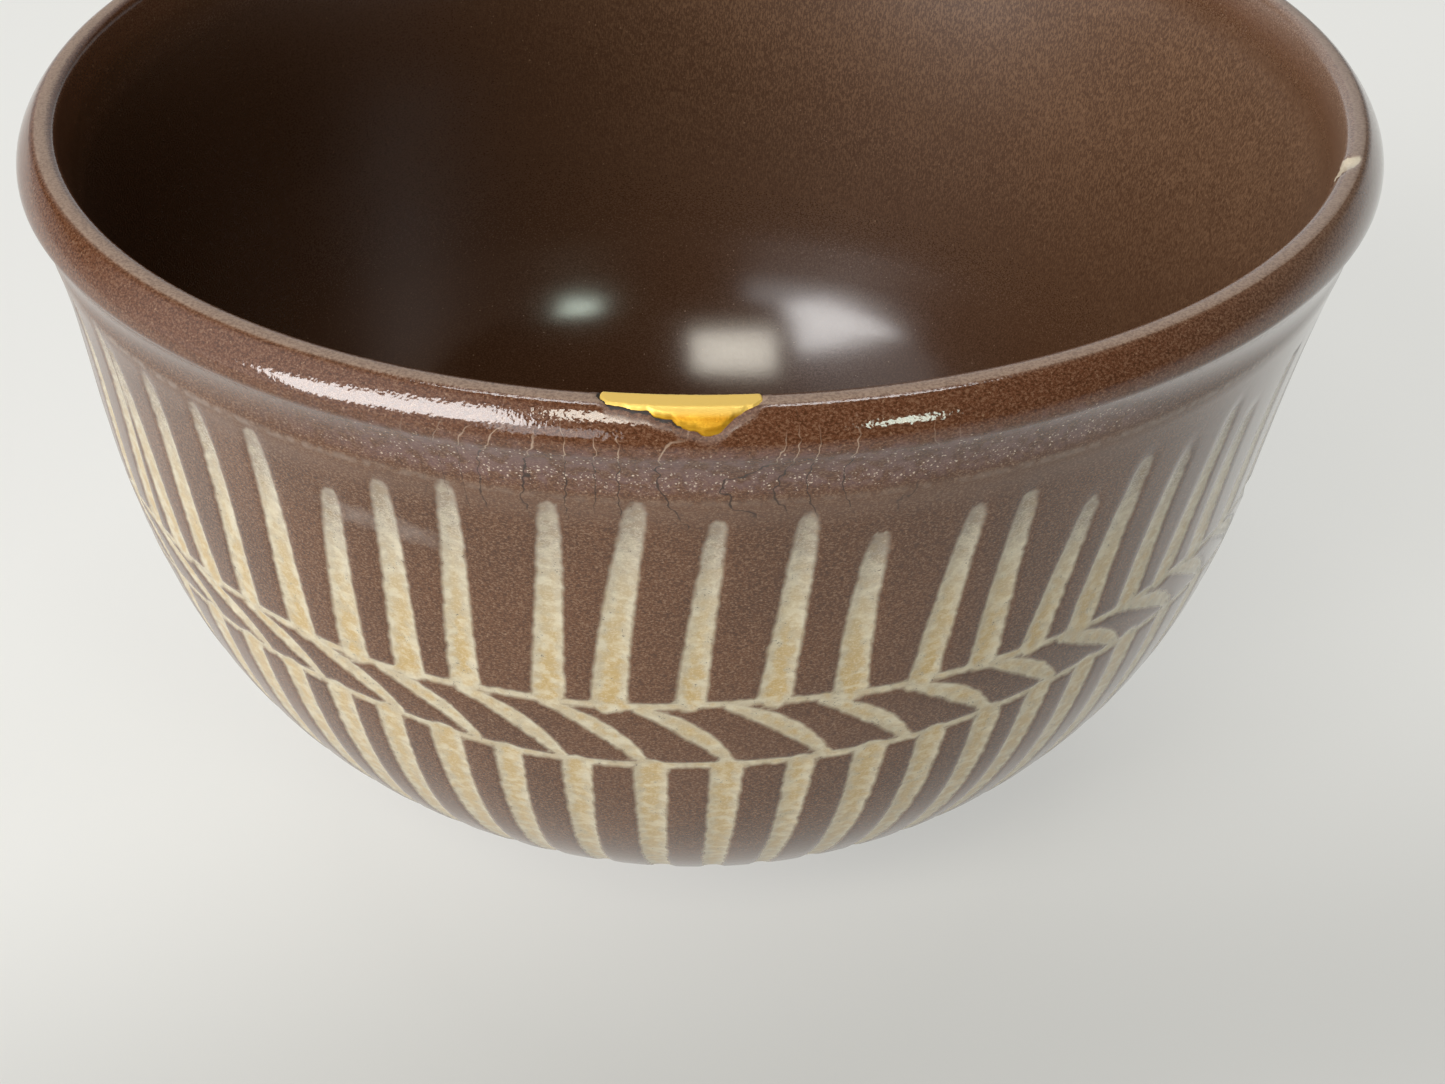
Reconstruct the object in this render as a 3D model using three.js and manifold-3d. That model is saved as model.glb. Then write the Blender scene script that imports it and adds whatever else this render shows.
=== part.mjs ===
// Wheel-thrown bowl with a carved slip pattern. A flake lost from its rim is filled with gold lacquer,
// and a second, smaller chip in the rim is left bare.
// Millimetres, +Z up. The origin is on the resting surface, at the centre of the foot ring.
// The filled chip faces -Y. Angles round the bowl start there and grow towards +X.
import * as THREE from "three";
import { mergeVertices } from "three/addons/utils/BufferGeometryUtils.js";
import Module from "manifold-3d";

const wasm = await Module();
wasm.setup();

// Body of the bowl
const BOWL_HEIGHT = 90;
const RIM_RADIUS = 70; // widest point of the rolled rim
const WALL = 4.2;
const FLOOR = 4.6; // clay between the inside floor and the recess under it
const FLOOR_SWEEP = 3; // height of the curve that joins the floor to the wall

// Rim: crest, roll, and the cove down to the ridge where the carved wall begins
const CREST_INSET = 3.8; // crest's inner edge, inside the widest radius
const CREST_WIDTH = 1.4;
const CREST_EASING = 0.6; // rounding of the crest's inner edge
const ROLL_DROP = 3.5; // crest down to the widest point
const ROLL_PULL = 2; // crest down to where the roll's curve is drawn out
const RIDGE_DROP = 9; // crest down to the ridge
const RIDGE_INSET = 1.7; // ridge, inside the widest radius
const COVE_DROP = 6.4; // crest down to the middle of the cove
const COVE_INSET = 2; // pull of the cove, inside the widest radius

// Belly: one curve from the foot to the ridge, given by its two end directions and their reach
const BELLY_FLARE_DEG = 62.8; // from upright, at the foot
const BELLY_REACH = 45.4;
const WALL_TAPER_DEG = 12.8; // from upright, at the ridge
const WALL_REACH = 25.9;

// Turned foot ring
const FOOT_RADIUS = 29;
const FOOT_HEIGHT = 6;
const FOOT_WIDTH = 4;
const FOOT_RECESS = 4;
const FOOT_DRAFT = 1; // the recess is narrower at its top by this much

// Carving, in the slip of the outer wall
const CARVE_DEPTH = 0.6;
const CARVE_CLEARANCE = 1.2; // how far a cutter stands out of the wall
const STROKE_COUNT = 62;
const STROKE_START_DEG = -0.9;
const STROKE_TIP_DROP = 10.3; // below the crest
const STROKE_TIP_SWAY = 2; // the row of tips rises and falls round the bowl
const STROKE_FOOT_WIDTH = 3.1;
const STROKE_TIP_WIDTH = 1.3;
const STROKE_LEAN = 2.2; // sideways shift from foot to tip
const BAND_DROP = 33.8; // crest down to the upper line of the leaf band
const BAND_HEIGHT = 8.2;
const BAND_LINE_WIDTH = 1;
const BAND_LINE_DEPTH = 0.4;
const BAND_MARGIN = 0.25; // clay left between a line and the strokes beside it
const LEAF_COUNT = 49;
const LEAF_START_DEG = -4.1;
const LEAF_SPAN = 8.6; // along the band, from a leaf stroke's tip to its heel
const LEAF_HEEL_WIDTH = 1.9;
const LEAF_TIP_WIDTH = 0.6;
const STRIP_COUNT = 62;
const STRIP_START_DEG = -3;
const STRIP_WIDTH = 2.9;
const STRIP_END_WIDTH = 1.7;
const STRIP_END_GAP = 5; // height left bare between the foot and a strip's end
const STRIP_LEAN = 1.4;
const HAND_SWAY_DEG = 1; // slow drift of the hand round the bowl
const HAND_SWAYS = 6;
const HAND_JITTER = 0.8; // stroke to stroke

// Chip in the front of the rim, and the gold lacquer that fills it
const CHIP_LEFT = 8.6; // reach to each side of the front, at the crest
const CHIP_RIGHT = 5;
const CHIP_DEPTH = 1; // below the crest, at the widest radius
const CHIP_SLOPE_DEG = 35; // the break falls towards the inside
const LACQUER_SEAM = 0.3;

// Bare chip on the inner edge of the rim
const NICK_ANGLE_DEG = 67;
const NICK_LENGTH = 4.4;
const NICK_WIDTH = 2;
const NICK_DEPTH = 1.5;

// Facets
const ROUND_STEPS = 48;
const BELLY_STEPS = 4;
const INSIDE_STEPS = 5;
const CURVE_STEPS = 3;
const STRIP_STEPS = 3;

const rad = THREE.MathUtils.degToRad;
const mix = THREE.MathUtils.lerp;
const point = (radius, height) => new THREE.Vector2(radius, height);
const upright = (deg, reach) => point(Math.sin(rad(deg)) * reach, Math.cos(rad(deg)) * reach);

// Section of the bowl

const ridgeHeight = BOWL_HEIGHT - RIDGE_DROP;
const floorHeight = FOOT_RECESS + FLOOR;
const crestInner = RIM_RADIUS - CREST_INSET;
const bandTop = BOWL_HEIGHT - BAND_DROP;
const bandBottom = bandTop - BAND_HEIGHT;
const footCorner = point(FOOT_RADIUS, FOOT_HEIGHT);
const ridge = point(RIM_RADIUS - RIDGE_INSET, ridgeHeight);
const belly = new THREE.CubicBezierCurve(
  footCorner,
  footCorner.clone().add(upright(BELLY_FLARE_DEG, BELLY_REACH)),
  ridge.clone().sub(upright(WALL_TAPER_DEG, WALL_REACH)),
  ridge,
);

// The outer wall at a share of the belly's curve: its point, and its normal pointing out of the bowl.
function wallAt(share) {
  const tangent = belly.getTangent(share);
  return { at: belly.getPoint(share), normal: point(tangent.y, -tangent.x) };
}

// The belly always rises, so the share that has a given height is found by halving.
function shareAt(height) {
  let low = 0;
  let high = 1;
  for (let halving = 0; halving < 30; halving += 1) {
    const middle = (low + high) / 2;
    if (belly.getPoint(middle).y < height) low = middle;
    else high = middle;
  }
  return low;
}

function footSection() {
  const inner = FOOT_RADIUS - FOOT_WIDTH;
  return [
    point(0, FOOT_RECESS),
    point(inner - FOOT_DRAFT, FOOT_RECESS),
    point(inner, 0),
    point(FOOT_RADIUS, 0),
  ];
}

// The outer wall from the foot to the ridge. The two thin lines that edge the leaf band are V grooves turned
// into it.
function wallSection() {
  const stretch = (from, to, steps) => {
    const [first, last] = [shareAt(from), shareAt(to)];
    return Array.from({ length: steps + 1 }, (_, i) => belly.getPoint(first + ((last - first) * i) / steps));
  };
  const valley = (height) => {
    const { at, normal } = wallAt(shareAt(height));
    return at.addScaledVector(normal, -BAND_LINE_DEPTH);
  };
  const half = BAND_LINE_WIDTH / 2;
  return [
    ...stretch(FOOT_HEIGHT, bandBottom - half, BELLY_STEPS),
    valley(bandBottom),
    ...stretch(bandBottom + half, bandTop - half, 1),
    valley(bandTop),
    ...stretch(bandTop + half, ridgeHeight, 1),
  ];
}

// From the ridge up the cove, over the roll and across the crest to its inner edge.
function rimSection() {
  const widest = point(RIM_RADIUS, BOWL_HEIGHT - ROLL_DROP);
  const cove = point(RIM_RADIUS - COVE_INSET, BOWL_HEIGHT - COVE_DROP);
  const crestOuter = point(crestInner + CREST_WIDTH, BOWL_HEIGHT);
  const underRoll = new THREE.QuadraticBezierCurve(ridge, cove, widest);
  const drawn = point(RIM_RADIUS, BOWL_HEIGHT - ROLL_PULL);
  const roll = new THREE.QuadraticBezierCurve(widest, drawn, crestOuter);
  return [
    ...underRoll.getPoints(CURVE_STEPS).slice(1),
    ...roll.getPoints(CURVE_STEPS).slice(1),
    point(crestInner, BOWL_HEIGHT),
    point(crestInner - CREST_EASING / 2, BOWL_HEIGHT - CREST_EASING),
  ];
}

// The inside follows the belly at the wall's thickness, then sweeps into a level floor.
function insideSection() {
  const insideAt = (share) => {
    const { at, normal } = wallAt(share);
    return at.addScaledVector(normal, -WALL);
  };
  let start = 0;
  while (insideAt(start).y < floorHeight + FLOOR_SWEEP) start += 0.005;
  const wall = [];
  for (let step = INSIDE_STEPS; step >= 0; step -= 1) {
    wall.push(insideAt(start + ((1 - start) * step) / INSIDE_STEPS));
  }
  const lowest = wall.at(-1);
  const down = belly.getTangent(start);
  const turn = point(lowest.x - ((lowest.y - floorHeight) * down.x) / down.y, floorHeight);
  const sweep = new THREE.QuadraticBezierCurve(lowest, turn, point(turn.x / 2, floorHeight));
  return [...wall, ...sweep.getPoints(CURVE_STEPS).slice(1), point(0, floorHeight)];
}

const bowlSection = [...footSection(), ...wallSection(), ...rimSection(), ...insideSection()];

// Solids and booleans

function solidOf(geometry) {
  geometry.deleteAttribute("normal");
  geometry.deleteAttribute("uv");
  const merged = mergeVertices(geometry, 1e-4);
  return new wasm.Manifold(
    new wasm.Mesh({
      numProp: 3,
      vertProperties: merged.attributes.position.array,
      triVerts: new Uint32Array(merged.index.array),
    }),
  );
}

function geometryOf(solid) {
  const { vertProperties, triVerts } = solid.getMesh();
  const geometry = new THREE.BufferGeometry()
    .setAttribute("position", new THREE.BufferAttribute(vertProperties, 3))
    .setIndex(new THREE.BufferAttribute(triVerts, 1));
  geometry.computeVertexNormals();
  return geometry;
}

// A lathe about +Z of a section given as radius and height.
function turned(section) {
  return solidOf(new THREE.LatheGeometry(section, ROUND_STEPS).rotateX(Math.PI / 2));
}

// Carving

// An irregularity from -1 to 1 that differs from stroke to stroke, the same on every run.
const jitter = (index, kind) => Math.sin(index * 12.9898 + kind * 78.233) * Math.cos(index * 4.1414 + kind);
const handSway = (angle) => rad(HAND_SWAY_DEG) * Math.sin(HAND_SWAYS * angle);

// A tool stroke in the outer wall, straight and tapered. Its ends lie on the unrolled wall, with x along the
// wall and y as the height. The cutter is a box bent onto the wall, from the groove's floor to clear of it.
function strokeCutter(start, end, startWidth, endWidth, angle, steps) {
  const spine = new THREE.LineCurve(start, end);
  const run = spine.getTangent(0);
  const aside = point(run.y, -run.x);
  const box = new THREE.BoxGeometry(1, 1, 1, 1, steps, 1);
  const places = box.attributes.position;
  for (let i = 0; i < places.count; i += 1) {
    const share = places.getY(i) + 0.5;
    const width = mix(startWidth, endWidth, share);
    const spot = spine.getPoint(share).addScaledVector(aside, places.getX(i) * width);
    const { at, normal } = wallAt(shareAt(spot.y));
    const turn = angle + spot.x / at.x;
    at.addScaledVector(normal, places.getZ(i) > 0 ? CARVE_CLEARANCE : -CARVE_DEPTH);
    places.setXYZ(i, at.x * Math.sin(turn), -at.x * Math.cos(turn), at.y);
  }
  return solidOf(box);
}

// One row of strokes round the bowl: the stroke function gets each stroke's number and even angle.
function row(count, startDeg, stroke) {
  return Array.from({ length: count }, (_, i) => stroke(i, rad(startDeg) + (i / count) * 2 * Math.PI));
}

const beside = BAND_LINE_WIDTH / 2 + BAND_MARGIN;

// Upper row: each stroke stands on the band's upper line and thins to a tip under the rim.
const upperStrokes = row(STROKE_COUNT, STROKE_START_DEG, (i, even) => {
  const tipDrop = STROKE_TIP_DROP + STROKE_TIP_SWAY * Math.sin(2 * even) + HAND_JITTER * jitter(i, 1);
  const foot = point(0, bandTop + beside);
  const tip = point(STROKE_LEAN + HAND_JITTER * jitter(i, 2), BOWL_HEIGHT - tipDrop);
  return strokeCutter(foot, tip, STROKE_FOOT_WIDTH, STROKE_TIP_WIDTH, even + handSway(even), 1);
});

// Leaf band: slanted strokes that swell from a thin tip at the upper line to a heel at the lower one.
const leafStrokes = row(LEAF_COUNT, LEAF_START_DEG, (i, even) => {
  const heel = point(LEAF_SPAN + HAND_JITTER * jitter(i, 3), bandBottom + beside);
  const tip = point(0, bandTop - beside);
  return strokeCutter(heel, tip, LEAF_HEEL_WIDTH, LEAF_TIP_WIDTH, even, 1);
});

// Lower row: strips from the band's lower line, narrowing towards the foot.
const lowerStrips = row(STRIP_COUNT, STRIP_START_DEG, (i, even) => {
  const end = point(-STRIP_LEAN + HAND_JITTER * jitter(i, 4), FOOT_HEIGHT + STRIP_END_GAP);
  const top = point(0, bandBottom - beside);
  return strokeCutter(end, top, STRIP_END_WIDTH, STRIP_WIDTH, even + handSway(even), STRIP_STEPS);
});

// Chips

// The front break: an uneven V across the rim that falls towards the inside. A margin shrinks it on every
// side, for the lacquer that sits in it.
function breakCutter(margin) {
  const fall = Math.tan(rad(CHIP_SLOPE_DEG));
  const top = CREST_INSET * fall;
  const clear = 2 * (top + CHIP_DEPTH);
  // The V's edge, as shares of its reach to the left or right and of its depth.
  const edge = [
    [-1, 0],
    [-0.83, 0.32],
    [-0.54, 0.56],
    [-0.24, 0.83],
    [0.1, 1],
    [0.32, 0.77],
    [0.48, 0.56],
    [0.8, 0.37],
    [1, 0],
  ];
  const side = (share) => share * (share < 0 ? CHIP_LEFT : CHIP_RIGHT) - Math.sign(share) * margin;
  const shape = new THREE.Shape([
    point(side(-1), clear),
    ...edge.map(([across, down]) => point(side(across), top - down * (top + CHIP_DEPTH) + margin)),
    point(side(1), clear),
  ]);
  const reach = 2 * (CREST_INSET + WALL);
  const prism = new THREE.ExtrudeGeometry(shape, { depth: 2 * reach, bevelEnabled: false });
  prism.translate(0, 0, -reach);
  prism.rotateX(Math.PI / 2);
  prism.applyMatrix4(new THREE.Matrix4().makeShear(0, 0, 0, -fall, 0, 0));
  prism.translate(0, -RIM_RADIUS, BOWL_HEIGHT);
  return solidOf(prism);
}

// A flake off the crest's inner edge: a shallow ellipsoid bite.
function nickCutter() {
  const bite = new THREE.SphereGeometry(0.5, 10, 7);
  bite.scale(NICK_LENGTH, NICK_WIDTH, 2 * NICK_DEPTH);
  bite.translate(0, -crestInner, BOWL_HEIGHT);
  bite.rotateZ(rad(NICK_ANGLE_DEG));
  return solidOf(bite);
}

// Assembly

const turnedBowl = turned(bowlSection);
const cutters = [
  ...upperStrokes,
  ...leafStrokes,
  ...lowerStrips,
  breakCutter(0),
  nickCutter(),
];
const carvedBowl = cutters.reduce((clay, cutter) => clay.subtract(cutter), turnedBowl);
const rimFill = turnedBowl.intersect(breakCutter(LACQUER_SEAM));

function piece(name, solid, material) {
  const mesh = new THREE.Mesh(geometryOf(solid), material);
  mesh.name = name;
  return mesh;
}

const brownSlip = new THREE.MeshStandardMaterial({ color: 0x5b3a2b, roughness: 0.35, metalness: 0 });
const goldLacquer = new THREE.MeshStandardMaterial({ color: 0xd99a1e, roughness: 0.32, metalness: 0.9 });

const bowl = new THREE.Group();
bowl.add(piece("bowl", carvedBowl, brownSlip));
bowl.add(piece("gold_rim_fill", rimFill, goldLacquer));

export default bowl;
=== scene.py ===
"""Finish of a carved stoneware bowl with a gold-filled chip in its rim.

Metres, +Z up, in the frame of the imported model. Angles round the bowl start at the front (-Y), where the
filled chip is, and grow towards +X. Attributes on the meshes that hold a length are in millimetres, and so
are the coordinates in the materials.
"""
import math

import bpy
import numpy as np
from mathutils import Matrix, Vector


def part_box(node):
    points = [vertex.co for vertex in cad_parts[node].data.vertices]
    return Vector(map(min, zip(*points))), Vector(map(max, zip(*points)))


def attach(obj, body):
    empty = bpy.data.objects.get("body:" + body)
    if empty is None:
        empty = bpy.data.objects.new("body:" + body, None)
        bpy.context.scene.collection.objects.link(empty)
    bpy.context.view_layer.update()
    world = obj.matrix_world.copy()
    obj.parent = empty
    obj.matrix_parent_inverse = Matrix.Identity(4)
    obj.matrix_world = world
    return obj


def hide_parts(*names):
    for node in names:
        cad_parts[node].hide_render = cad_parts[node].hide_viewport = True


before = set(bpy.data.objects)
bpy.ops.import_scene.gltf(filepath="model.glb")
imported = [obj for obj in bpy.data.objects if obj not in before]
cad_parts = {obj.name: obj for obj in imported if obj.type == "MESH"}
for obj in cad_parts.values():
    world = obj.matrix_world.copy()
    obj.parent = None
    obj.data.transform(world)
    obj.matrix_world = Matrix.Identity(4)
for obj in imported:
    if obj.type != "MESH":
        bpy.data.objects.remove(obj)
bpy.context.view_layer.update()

MM = 0.001

# Body of the bowl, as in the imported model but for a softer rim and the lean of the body
BOWL_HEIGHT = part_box("bowl")[1].z
RIM_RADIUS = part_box("bowl")[1].x
WALL = 4.2 * MM
FLOOR_HEIGHT = 8.6 * MM
FLOOR_SWEEP = 3 * MM
CREST_INSET = 3.8 * MM
CREST_WIDTH = 1.7 * MM
CREST_EASING = 1 * MM
ROLL_DROP = 3.5 * MM
ROLL_PULL = 2.2 * MM
ROLL_EDGE = 0.6 * MM
RIDGE_DROP = 9 * MM
RIDGE_INSET = 1.7 * MM
COVE_DROP = 6.4 * MM
COVE_INSET = 2 * MM
BELLY_FLARE = math.radians(62.8)
BELLY_REACH = 45.4 * MM
WALL_TAPER = math.radians(12.8)
WALL_REACH = 25.9 * MM
FOOT_RADIUS = 29 * MM
FOOT_HEIGHT = 6 * MM
FOOT_WIDTH = 4 * MM
FOOT_RECESS = 4 * MM
FOOT_DRAFT = 1 * MM
FOOT_EASING = 0.6 * MM
BODY_SHIFT = -1.2 * MM
SHIFT_FULL_FROM = 30 * MM
SHIFT_FULL_TO = 55 * MM
SHIFT_END_DROP = 5 * MM
RING_DEPTH = 0.04 * MM
RING_DEPTH_BELOW = 0.09 * MM
RING_DEEPENING = (50 * MM, 85 * MM)
RING_FADE = 6 * MM
GROOVES = ((41.5 * MM, 0.2 * MM), (31 * MM, 0.12 * MM))
GROOVE_WIDTH = 1.8 * MM
INSIDE_FADE = 8 * MM
CREST_LEVEL = (0.9, 0.985)

# Mesh: columns round the bowl, and rows on each stretch of its section
COLUMNS = 712
WALL_ROWS = (4, 16, 13, 7, 7, 18)
COVE_ROWS = 9
ROLL_ROWS = 9
ROLL_EDGE_ROWS = 4
CREST_ROWS = 2
CREST_EASING_ROWS = 3
STRAIGHT_ROWS = 8
INSIDE_ROWS = 22
SWEEP_ROWS = 6
FLOOR_ROWS = 2
CURVE_STEPS = 3000
LINE_MARGIN = 1.2 * MM
SAG_MARGIN_BELOW = 1.6 * MM
SAG_MARGIN_ABOVE = 3.6 * MM

# Carving
CARVE_DEPTH = 0.2 * MM
CARVE_SLOPE = (0.35 * MM, -0.6 * MM)
UNCARVED = 5 * MM
STROKE_COUNT = 62
STROKE_TIP_DROP = 10.5 * MM
STROKE_TIP_SWAY = 2 * MM
STROKE_FOOT_WIDTH = 3.1 * MM
STROKE_TIP_WIDTH = 1.7 * MM
STROKE_LEAN = 0.8 * MM
STROKE_TAPER = 1.15
STROKE_BOW = 0.35 * MM
STROKE_SPACING_JITTER = 0.08
STROKE_WIDTH_JITTER = 0.1
STROKE_MARGIN = 1 * MM
BAND_SHARE = 0.25
BAND_DROP = 33.8 * MM
BAND_HEIGHT = 8.2 * MM
BAND_LINE_WIDTH = 0.8 * MM
BAND_OVERLAP = 1.3 * MM
BAND_WAVER = 0.3 * MM
BAND_TREMOR = 0.15 * MM
BAND_SAG = 2.4 * MM
BAND_SAGS = 4
LOWER_LINE_WAVER = 0.2 * MM
LOWER_LINE_SHIFT = -0.3 * MM
LEAF_COUNT = 49
LEAF_START = math.radians(-4.1)
LEAF_SPAN = 8.8 * MM
LEAF_END_WIDTH = 1 * MM
LEAF_SWELL = 1 * MM
LEAF_SWELL_SKEW = 1.2
LEAF_CURVE = ((0, 1), (0.34, 0.82), (0.72, 0.55), (1, 0))
LEAF_PARTS = 8
STRIP_COUNT = 62
STRIP_START = math.radians(-3)
STRIP_WIDTH = 3 * MM
STRIP_END_WIDTH = 1.7 * MM
STRIP_END_GAP = 5 * MM
STRIP_LEAN = 1.4 * MM
STRIP_WIDTH_JITTER = 0.12
HAND_SWAY = math.radians(1)
HAND_SWAYS = 6
HAND_JITTER = 0.8 * MM

# Upper strokes across the front, from left to right: foot and tip as pixels read off the photograph
FRONT_STROKES = np.array([
    [[146, 488], [92, 318]],
    [[176, 530], [104, 340]],
    [[208, 558], [140, 366]],
    [[246, 586], [187, 394]],
    [[299, 616], [244, 420]],
    [[352, 642], [326, 480]],
    [[408, 664], [374, 470]],
    [[464, 676], [442, 470]],
    [[546, 686], [546, 494]],
    [[608, 692], [638, 494]],
    [[690, 696], [720, 512]],
    [[774, 696], [812, 504]],
    [[852, 686], [884, 526]],
    [[924, 674], [984, 496]],
    [[984, 656], [1036, 482]],
    [[1034, 636], [1100, 486]],
    [[1082, 616], [1154, 448]],
    [[1130, 592], [1194, 440]],
    [[1166, 564], [1240, 400]],
    [[1200, 536], [1256, 400]],
])

# Chips
CHIP_LEFT = 8.6 * MM
CHIP_RIGHT = 5 * MM
CHIP_INNER_DEPTH = 4 * MM
CHIP_BED = 1 * MM
CHIP_SLOPE = 0.8 * MM
CHIP_EDGE_SLANT = 0.8
FILL_PROUD = 0.1 * MM
FILL_SUNK = 0.08 * MM
FILL_EDGE = 0.6 * MM
FILL_THICKNESS = 0.9 * MM
FILL_COLUMNS = 120
FILL_ROWS = 41
NICK_ANGLE = math.radians(67)
NICK_LENGTH = 6.4 * MM
NICK_WIDTH = 3.6 * MM
NICK_DEPTH = 0.45 * MM
NICK_DROP = 1.9 * MM
NICK_SLANT = 0.45
NICK_SLOPE = (0.05 * MM, -0.7 * MM)

# Outer edge of the filled chip, from left to right: place as a share of that side's length, and millimetres
# from the crest's inner edge
CHIP_OUTLINE = np.array([
    [-1, 0.3],
    [-0.86, 1.3],
    [-0.52, 1.7],
    [-0.3, 2.4],
    [-0.14, 3],
    [-0.03, 3.4],
    [0.12, 3.5],
    [0.3, 3.4],
    [0.5, 2.1],
    [0.8, 1.5],
    [1, 0.3],
])

# Camera, from the photograph's outlines
PHOTO_SIZE = (1445, 1084)
FOCAL_PIXELS = 2000
CAMERA_PLACE = (0, -199.6 * MM, 173.6 * MM)
CAMERA_PITCH = math.radians(36.29)
CAMERA_YAW = math.radians(0.7)
CAMERA_ROLL = math.radians(-0.34)
SENSOR_WIDTH = 36
NEAR_CLIP = 10 * MM
RAY_NEAR = 80 * MM
RAY_FAR = 330 * MM
RAY_STEPS = 5000
RAY_WALL_STEPS = 500


def mix(a, b, share):
    """The value a share of the way from a to b."""
    return a + (b - a) * share


def smooth(low, high, value):
    """0 below low, 1 above high, and an S curve between (low may be the larger one)."""
    share = np.clip((value - low) / (high - low), 0, 1)
    return share * share * (3 - 2 * share)


def bezier(points, share):
    """A Bezier curve of any degree by repeated mixing: each pass mixes neighbours until one point is left."""
    layers = [np.asarray(p, float)[None, :] for p in points]
    share = np.asarray(share, float)[:, None]
    while len(layers) > 1:
        layers = [mix(a, b, share) for a, b in zip(layers, layers[1:])]
    return layers[0] + 0 * share


def even(count):
    """Shares from just after 0 up to 1, so that joined stretches don't repeat a row."""
    return np.linspace(0, 1, count + 1)[1:]


# Section of the bowl: rows of (radius, height), from the axis under the foot round to the axis on the floor.

RIDGE = np.array([RIM_RADIUS - RIDGE_INSET, BOWL_HEIGHT - RIDGE_DROP])
FOOT_CORNER = np.array([FOOT_RADIUS, FOOT_HEIGHT])
BELLY = [
    FOOT_CORNER,
    FOOT_CORNER + BELLY_REACH * np.array([math.sin(BELLY_FLARE), math.cos(BELLY_FLARE)]),
    RIDGE - WALL_REACH * np.array([math.sin(WALL_TAPER), math.cos(WALL_TAPER)]),
    RIDGE,
]
BAND_TOP = BOWL_HEIGHT - BAND_DROP
BAND_BOTTOM = BAND_TOP - BAND_HEIGHT


def foot_rows():
    """Level recess, a slanted inner wall, the flat ring with eased edges, and the upright outer wall."""
    inner = FOOT_RADIUS - FOOT_WIDTH
    return np.array([
        [0.4 * inner, FOOT_RECESS],
        [0.8 * inner, FOOT_RECESS],
        [inner - FOOT_DRAFT - FOOT_EASING, FOOT_RECESS],
        [inner - FOOT_DRAFT, FOOT_RECESS - FOOT_EASING],
        [inner, FOOT_EASING],
        [inner + FOOT_EASING, 0],
        [FOOT_RADIUS - FOOT_EASING, 0],
        [FOOT_RADIUS, FOOT_EASING],
        [FOOT_RADIUS, FOOT_HEIGHT - FOOT_EASING],
    ])


def belly_shares():
    """Shares of the belly's curve at chosen heights, crowded where the thin lines of the leaf band run."""
    stops = [
        FOOT_HEIGHT,
        FOOT_HEIGHT + STRIP_END_GAP,
        BAND_BOTTOM - SAG_MARGIN_BELOW,
        BAND_BOTTOM + SAG_MARGIN_ABOVE,
        BAND_TOP - LINE_MARGIN,
        BAND_TOP + LINE_MARGIN,
        RIDGE[1],
    ]
    zones = [mix(low, high, even(count)) for low, high, count in zip(stops, stops[1:], WALL_ROWS)]
    heights = np.concatenate([[FOOT_HEIGHT], *zones])
    dense = np.linspace(0, 1, CURVE_STEPS)
    return np.interp(heights, bezier(BELLY, dense)[:, 1], dense)


def rim_rows():
    """Cove up from the ridge, roll up to the crest, and the crest between its two eased edges: each curve is
    quadratic, and the crest is straight."""
    widest = [RIM_RADIUS, BOWL_HEIGHT - ROLL_DROP]
    cove = [RIM_RADIUS - COVE_INSET, BOWL_HEIGHT - COVE_DROP]
    inner = RIM_RADIUS - CREST_INSET
    crest = np.array([inner + CREST_WIDTH, BOWL_HEIGHT])
    drawn = np.array([RIM_RADIUS, BOWL_HEIGHT - ROLL_PULL])
    before = mix(crest, drawn, ROLL_EDGE / np.linalg.norm(drawn - crest))
    after = crest - [ROLL_EDGE, 0]
    edge = [inner + CREST_EASING / 2, BOWL_HEIGHT]
    below = [inner - CREST_EASING / 2, BOWL_HEIGHT - CREST_EASING]
    return np.concatenate([
        bezier([RIDGE, cove, widest], even(COVE_ROWS)),
        bezier([widest, drawn, before], even(ROLL_ROWS)),
        bezier([before, crest, after], even(ROLL_EDGE_ROWS)),
        bezier([after, edge], even(CREST_ROWS)),
        bezier([edge, [inner - CREST_EASING / 3, BOWL_HEIGHT], below], even(CREST_EASING_ROWS)),
    ])


def inside_rows():
    """Straight down from the crest's inner edge, the belly's curve moved in by the wall, then a quadratic
    sweep into the level floor."""
    dense = np.linspace(0, 1, CURVE_STEPS)
    outer = bezier(BELLY, dense)
    run = np.gradient(outer, axis=0)
    run /= np.linalg.norm(run, axis=1, keepdims=True)
    inner = outer + WALL * np.stack([-run[:, 1], run[:, 0]], axis=1)
    start = np.argmax(inner[:, 1] > FLOOR_HEIGHT + FLOOR_SWEEP)
    picks = np.linspace(len(dense) - 1, start, INSIDE_ROWS).astype(int)
    low = inner[start]
    turn = np.array([low[0] - (low[1] - FLOOR_HEIGHT) * run[start, 0] / run[start, 1], FLOOR_HEIGHT])
    level = np.array([turn[0] / 2, FLOOR_HEIGHT])
    below = [RIM_RADIUS - CREST_INSET - CREST_EASING / 2, BOWL_HEIGHT - CREST_EASING]
    return np.concatenate([
        bezier([below, inner[-1]], even(STRAIGHT_ROWS)),
        inner[picks[1:]],
        bezier([low, turn, level], even(SWEEP_ROWS)),
        bezier([level, [level[0] / 3, FLOOR_HEIGHT]], even(FLOOR_ROWS)),
    ])


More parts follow.
